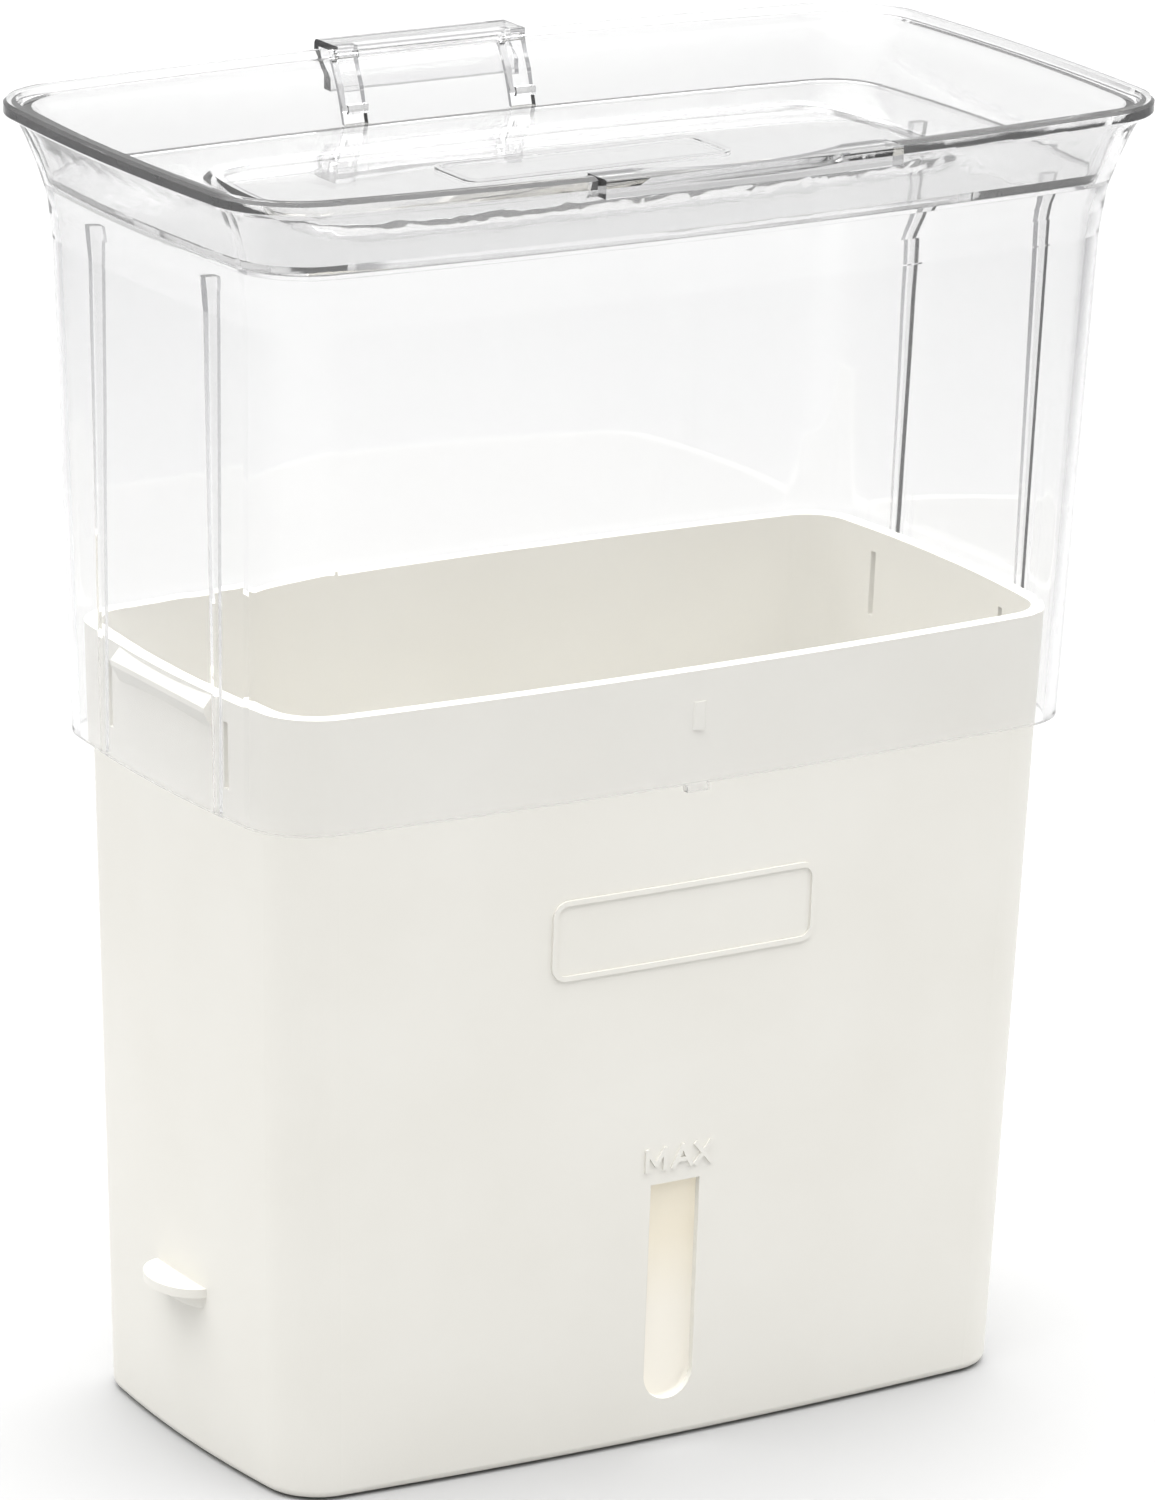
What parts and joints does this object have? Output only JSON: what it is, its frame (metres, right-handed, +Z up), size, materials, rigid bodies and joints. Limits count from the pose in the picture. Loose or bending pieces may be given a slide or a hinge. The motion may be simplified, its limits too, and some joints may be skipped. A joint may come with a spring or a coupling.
{
  "type": "expandable herb keeper",
  "caption": "Fridge herb keeper: oblong cream water tub with a sight window, clear sleeve with a flared rim that slides over it, and a clear recessed flip lid.",
  "frame": {"origin": "centre of the tub's footprint, on the surface it stands on", "axes": "+Z up, the sight window and the lifting tab face -Y, the hinge clip is at +Y, the width runs along X; the sleeve is stored fully raised and the lid closed"},
  "size_m": [0.1646, 0.0984, 0.2061],
  "materials": {
    "cream_plastic": "warm white moulded plastic, satin",
    "window_clear": "clear moulded plastic, polished",
    "sleeve_clear": "clear moulded plastic, polished",
    "lid_clear": "clear moulded plastic, polished",
    "clip_clear": "clear moulded plastic, polished"
  },
  "bodies": {
    "base": {"tub": "cream_plastic", "sight_window": "window_clear"},
    "upper": {"sleeve": "sleeve_clear", "hinge_clip": "clip_clear"},
    "flip_lid": {"lid": "lid_clear"}
  },
  "joints": [
    {"name": "sleeve_slide", "type": "slide", "parent": "base", "child": "upper", "axis": [0, 0, 1], "range_m": [-0.0665, 0]},
    {"name": "lid_hinge", "type": "hinge", "parent": "upper", "child": "flip_lid", "pos_m": [-0.0018, 0.0433, 0.2043], "axis": [-1, 0, 0], "range_deg": [0, 100]}
  ]
}
